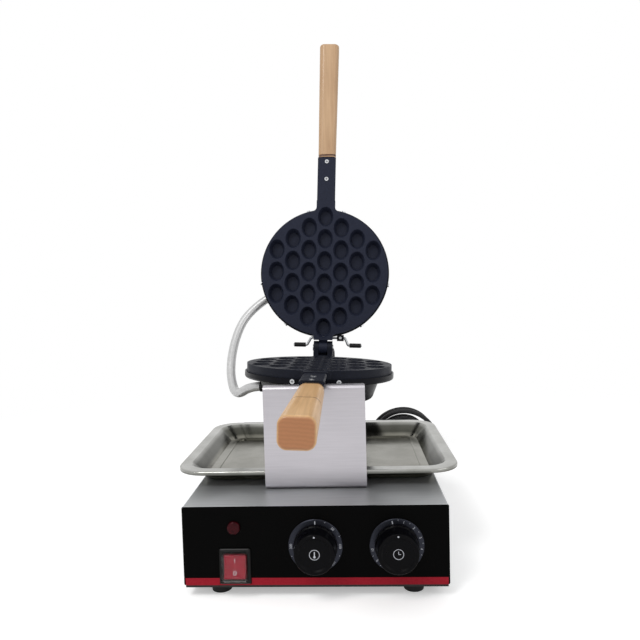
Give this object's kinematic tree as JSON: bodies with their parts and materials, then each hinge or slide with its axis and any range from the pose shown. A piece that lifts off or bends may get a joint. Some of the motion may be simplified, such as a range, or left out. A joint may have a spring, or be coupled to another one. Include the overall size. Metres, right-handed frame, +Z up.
{
  "type": "egg cake machine",
  "caption": "Countertop egg cake cooker: hinged round cell moulds on long wooden handles that turn in a folded stand over a drip tray, on a flat electric base with dials.",
  "frame": {"origin": "on the table under the middle of the machine's outline, without its mains cord", "axes": "+X to the machine's right seen from its panel, +Y to its back, +Z up"},
  "size_m": [0.3635, 0.5735, 0.6493],
  "materials": {
    "box_steel": "satin sheet steel",
    "black_panel": "satin black",
    "red_stripe": "gloss red",
    "rubber": "matt",
    "screw_steel": "bright",
    "stand_steel": "fine brushed",
    "tray_steel": "dull pressed",
    "casting": "dark non-stick coating",
    "bright_bar": "turned steel",
    "cover_steel": "dark enamel",
    "heater": "oxidised sheath",
    "tang_steel": "plain steel bar",
    "wood": "clear lacquer",
    "gland_black": "moulded",
    "sleeve_rubber": "matt",
    "lamp_red": "clear red",
    "lamp_white": "moulded",
    "switch_black": "moulded",
    "rocker_red": "clear red",
    "boot_clear": "clear soft cover",
    "dial": "dark printed metal",
    "knob_black": "moulded",
    "control_body": "moulded",
    "block_white": "moulded",
    "hose_grey": "braided sleeve",
    "hose_dark": "braided sleeve",
    "cord_black": "matt sheath",
    "brass": "bright"
  },
  "bodies": {
    "base": {"base_cover": "box_steel", "bottom_plate": "box_steel", "front_panel": "black_panel", "panel_stripe": "red_stripe", "rear_panel": "box_steel", "feet": "rubber", "foot_screws": "screw_steel", "cover_screws": "screw_steel", "stand": "stand_steel", "stand_screws": "screw_steel", "bearing_block": "bright_bar", "block_screws": "screw_steel", "lamp_body": "lamp_white", "lamp_lens": "lamp_red", "switch_body": "switch_black", "switch_frame": "switch_black", "switch_boot": "boot_clear", "temperature_dial": "dial", "timer_dial": "dial", "thermostat": "control_body", "timer_body": "control_body", "terminal_block": "block_white", "base_gland": "gland_black", "lid_hose": "hose_grey", "feed_hose": "hose_dark", "cord_gland": "gland_black", "cord_lead": "cord_black", "cord_coil": "cord_black", "cord_tail": "cord_black", "plug_body": "cord_black", "plug_pins": "brass"},
    "turning_mould": {"lower_mould": "casting", "turning_shaft": "bright_bar", "shaft_collar": "bright_bar", "hinge_pin": "bright_bar", "lower_cover": "cover_steel", "lower_heater": "heater", "lower_tang": "tang_steel", "lower_grip": "wood", "lower_lip_screws": "screw_steel", "lower_neck_screws": "screw_steel", "lower_glands": "gland_black"},
    "lid": {"upper_mould": "casting", "upper_cover": "cover_steel", "upper_heater": "heater", "upper_tang": "tang_steel", "upper_grip": "wood", "upper_lip_screws": "screw_steel", "upper_neck_screws": "screw_steel", "upper_gland": "gland_black", "stop_rod": "bright_bar", "stop_sleeves": "sleeve_rubber", "rod_collar": "gland_black", "collar_screw": "screw_steel"},
    "temperature_control": {"temperature_knob": "knob_black", "temperature_spindle": "bright_bar"},
    "timer_control": {"timer_knob": "knob_black", "timer_spindle": "bright_bar"},
    "rocker": {"switch_rocker": "rocker_red"},
    "drip_tray": {"tray": "tray_steel"}
  },
  "joints": [
    {"name": "turning", "type": "hinge", "parent": "base", "child": "turning_mould", "pos_m": [0, 0.08424, 0.202], "axis": [0, 0.9994, -0.0349], "range_deg": [-2.5, 87.5], "deforming": ["feed_hose"]},
    {"name": "lid_hinge", "type": "hinge", "parent": "turning_mould", "child": "lid", "pos_m": [0.00048, 0.19156, 0.20925], "axis": [0.999, -0.0015, -0.0436], "range_deg": [0, 94.5], "deforming": ["lid_hose"]},
    {"name": "temperature", "type": "hinge", "parent": "base", "child": "temperature_control", "pos_m": [0.0005, -0.09976, 0.051], "axis": [0, -1, 0], "range_deg": [-270, 0]},
    {"name": "timer", "type": "hinge", "parent": "base", "child": "timer_control", "pos_m": [0.0778, -0.09976, 0.051], "axis": [0, -1, 0], "range_deg": [-300, 0]},
    {"name": "power_rocker", "type": "hinge", "parent": "base", "child": "rocker", "pos_m": [-0.0772, -0.09776, 0.032], "axis": [1, 0, 0], "range_deg": [0, 9]},
    {"name": "tray_slide", "type": "slide", "parent": "base", "child": "drip_tray", "axis": [1, 0, 0], "range_m": [0, 0.1]}
  ]
}
